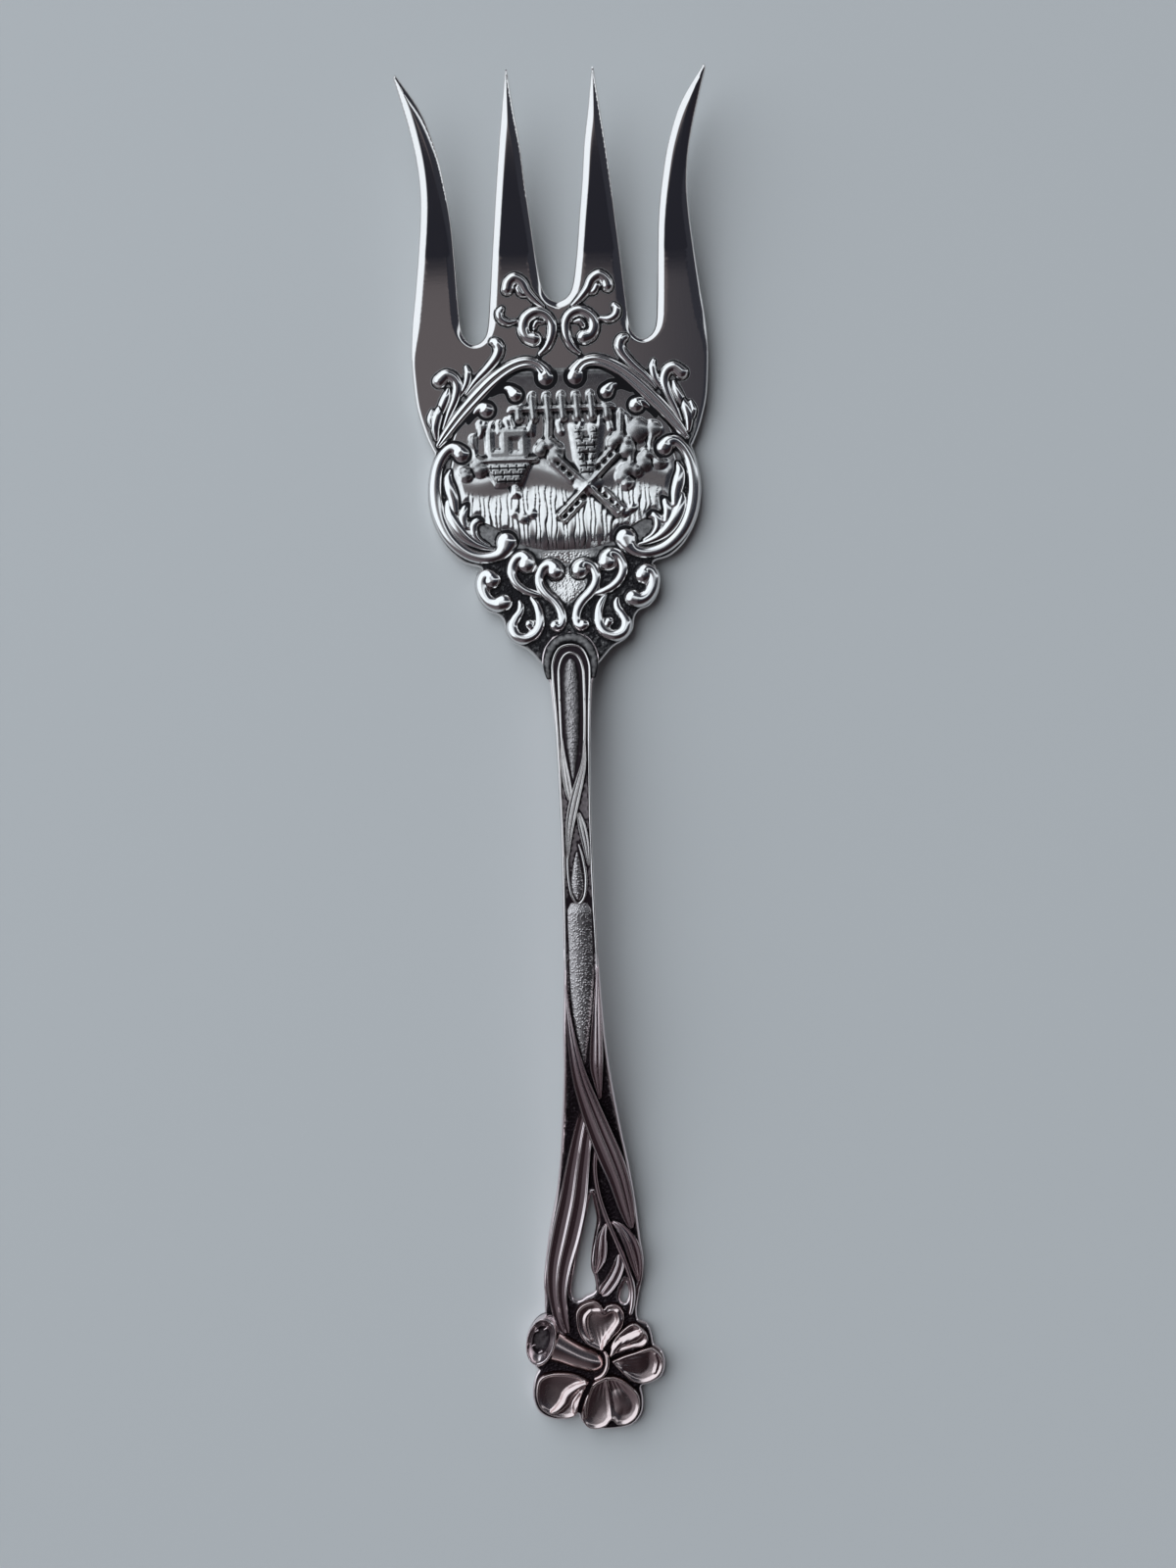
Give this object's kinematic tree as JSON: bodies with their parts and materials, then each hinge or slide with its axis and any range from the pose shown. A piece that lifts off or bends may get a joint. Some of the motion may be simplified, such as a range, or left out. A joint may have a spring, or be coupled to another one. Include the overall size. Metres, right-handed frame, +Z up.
{
  "type": "serving fork",
  "caption": "Ornamental silver serving fork: tined head with scroll border and pictorial plaque, beaded handle ending in a pierced flower spray.",
  "frame": {"origin": "on the table under the middle of the fork's length and width", "axes": "+Y along the fork towards the tine tips, +Z up through the ornamented face, +X to the right of the face"},
  "size_m": [0.046, 0.202, 0.0095],
  "materials": {
    "polished_silver": "polished silver, darkened in the recesses",
    "satin_silver": "satin silver with a warm tarnish",
    "stippled_silver": "stippled and oxidised silver",
    "oxidised_relief": "low relief with black oxide in the ground"
  },
  "bodies": {
    "root": {"tined_head": "polished_silver", "scene_plaque": "oxidised_relief", "scene_mill": "oxidised_relief", "scene_cottage": "oxidised_relief", "scene_trees": "oxidised_relief", "scene_fence": "oxidised_relief", "border_scroll_right": "polished_silver", "border_scroll_left": "polished_silver", "border_leaf_right": "polished_silver", "border_leaf_left": "polished_silver", "arch_scroll_right": "polished_silver", "arch_scroll_left": "polished_silver", "arch_tendril_right": "polished_silver", "arch_tendril_left": "polished_silver", "inner_curls_right": "polished_silver", "inner_curls_left": "polished_silver", "shoulder_curl_right": "polished_silver", "shoulder_curl_left": "polished_silver", "shoulder_leaf_right": "polished_silver", "shoulder_leaf_left": "polished_silver", "crown_scroll_right": "polished_silver", "crown_scroll_left": "polished_silver", "crown_leaf_right": "polished_silver", "crown_leaf_left": "polished_silver", "heart_scroll_right": "polished_silver", "heart_scroll_left": "polished_silver", "neck_scroll_right": "polished_silver", "neck_scroll_left": "polished_silver", "neck_loop_right": "polished_silver", "neck_loop_left": "polished_silver", "side_volute_right": "polished_silver", "side_volute_left": "polished_silver", "handle_plate": "satin_silver", "throat_arch": "satin_silver", "edge_bead": "satin_silver", "bead_loop": "satin_silver", "bead_tail": "satin_silver", "upper_panel": "stippled_silver", "drop_panel": "stippled_silver", "lower_panel": "stippled_silver", "right_blade": "satin_silver", "left_blade_upper": "satin_silver", "left_blade_lower": "satin_silver", "stalk": "satin_silver", "sheath_leaf": "satin_silver", "bud_leaf": "satin_silver", "short_leaf": "satin_silver", "top_petal": "satin_silver", "upper_right_petal": "satin_silver", "right_petal": "satin_silver", "bottom_petal": "satin_silver", "lower_left_petal": "satin_silver", "trumpet_tube": "satin_silver", "trumpet_rim": "satin_silver", "stamens": "satin_silver"}
  },
  "joints": []
}
